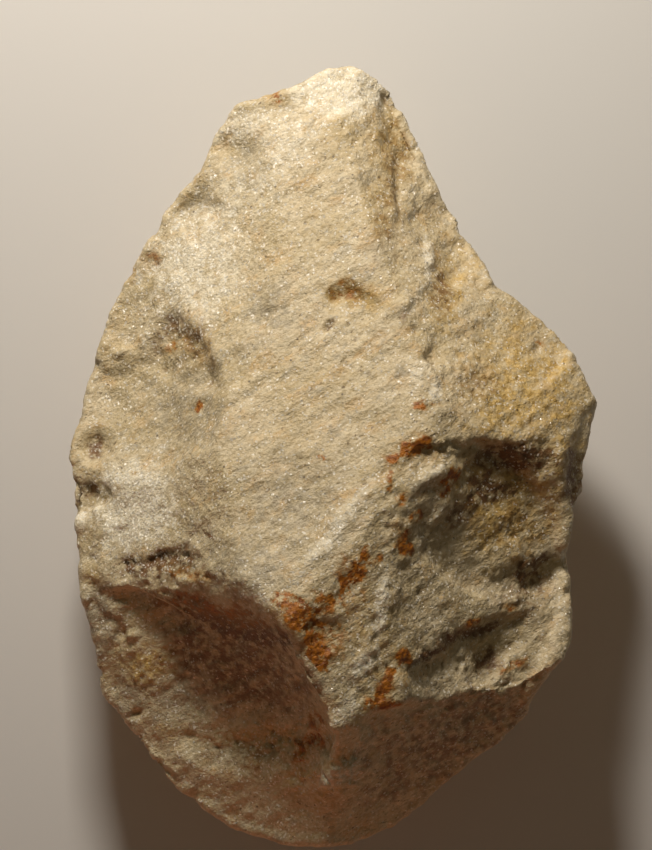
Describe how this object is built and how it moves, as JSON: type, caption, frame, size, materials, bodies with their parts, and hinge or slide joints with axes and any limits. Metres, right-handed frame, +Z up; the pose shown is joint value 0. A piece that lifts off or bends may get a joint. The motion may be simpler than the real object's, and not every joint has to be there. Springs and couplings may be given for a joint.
{
  "type": "stone hand axe",
  "caption": "Pointed knapped stone hand axe with flake scars on both faces, a thick butt and a battered edge, lying flat.",
  "frame": {"origin": "on the surface it lies on, below the middle of its bounding box", "axes": "+Z up out of the better worked face, +Y along the length from the butt to the tip, +X to the right seen from above"},
  "size_m": [0.0645, 0.095, 0.0374],
  "materials": {
    "quartzite": "rough knapped quartzite, tan and grey, with rust-coloured stains"
  },
  "bodies": {
    "root": {"hand_axe": "quartzite"}
  },
  "joints": []
}
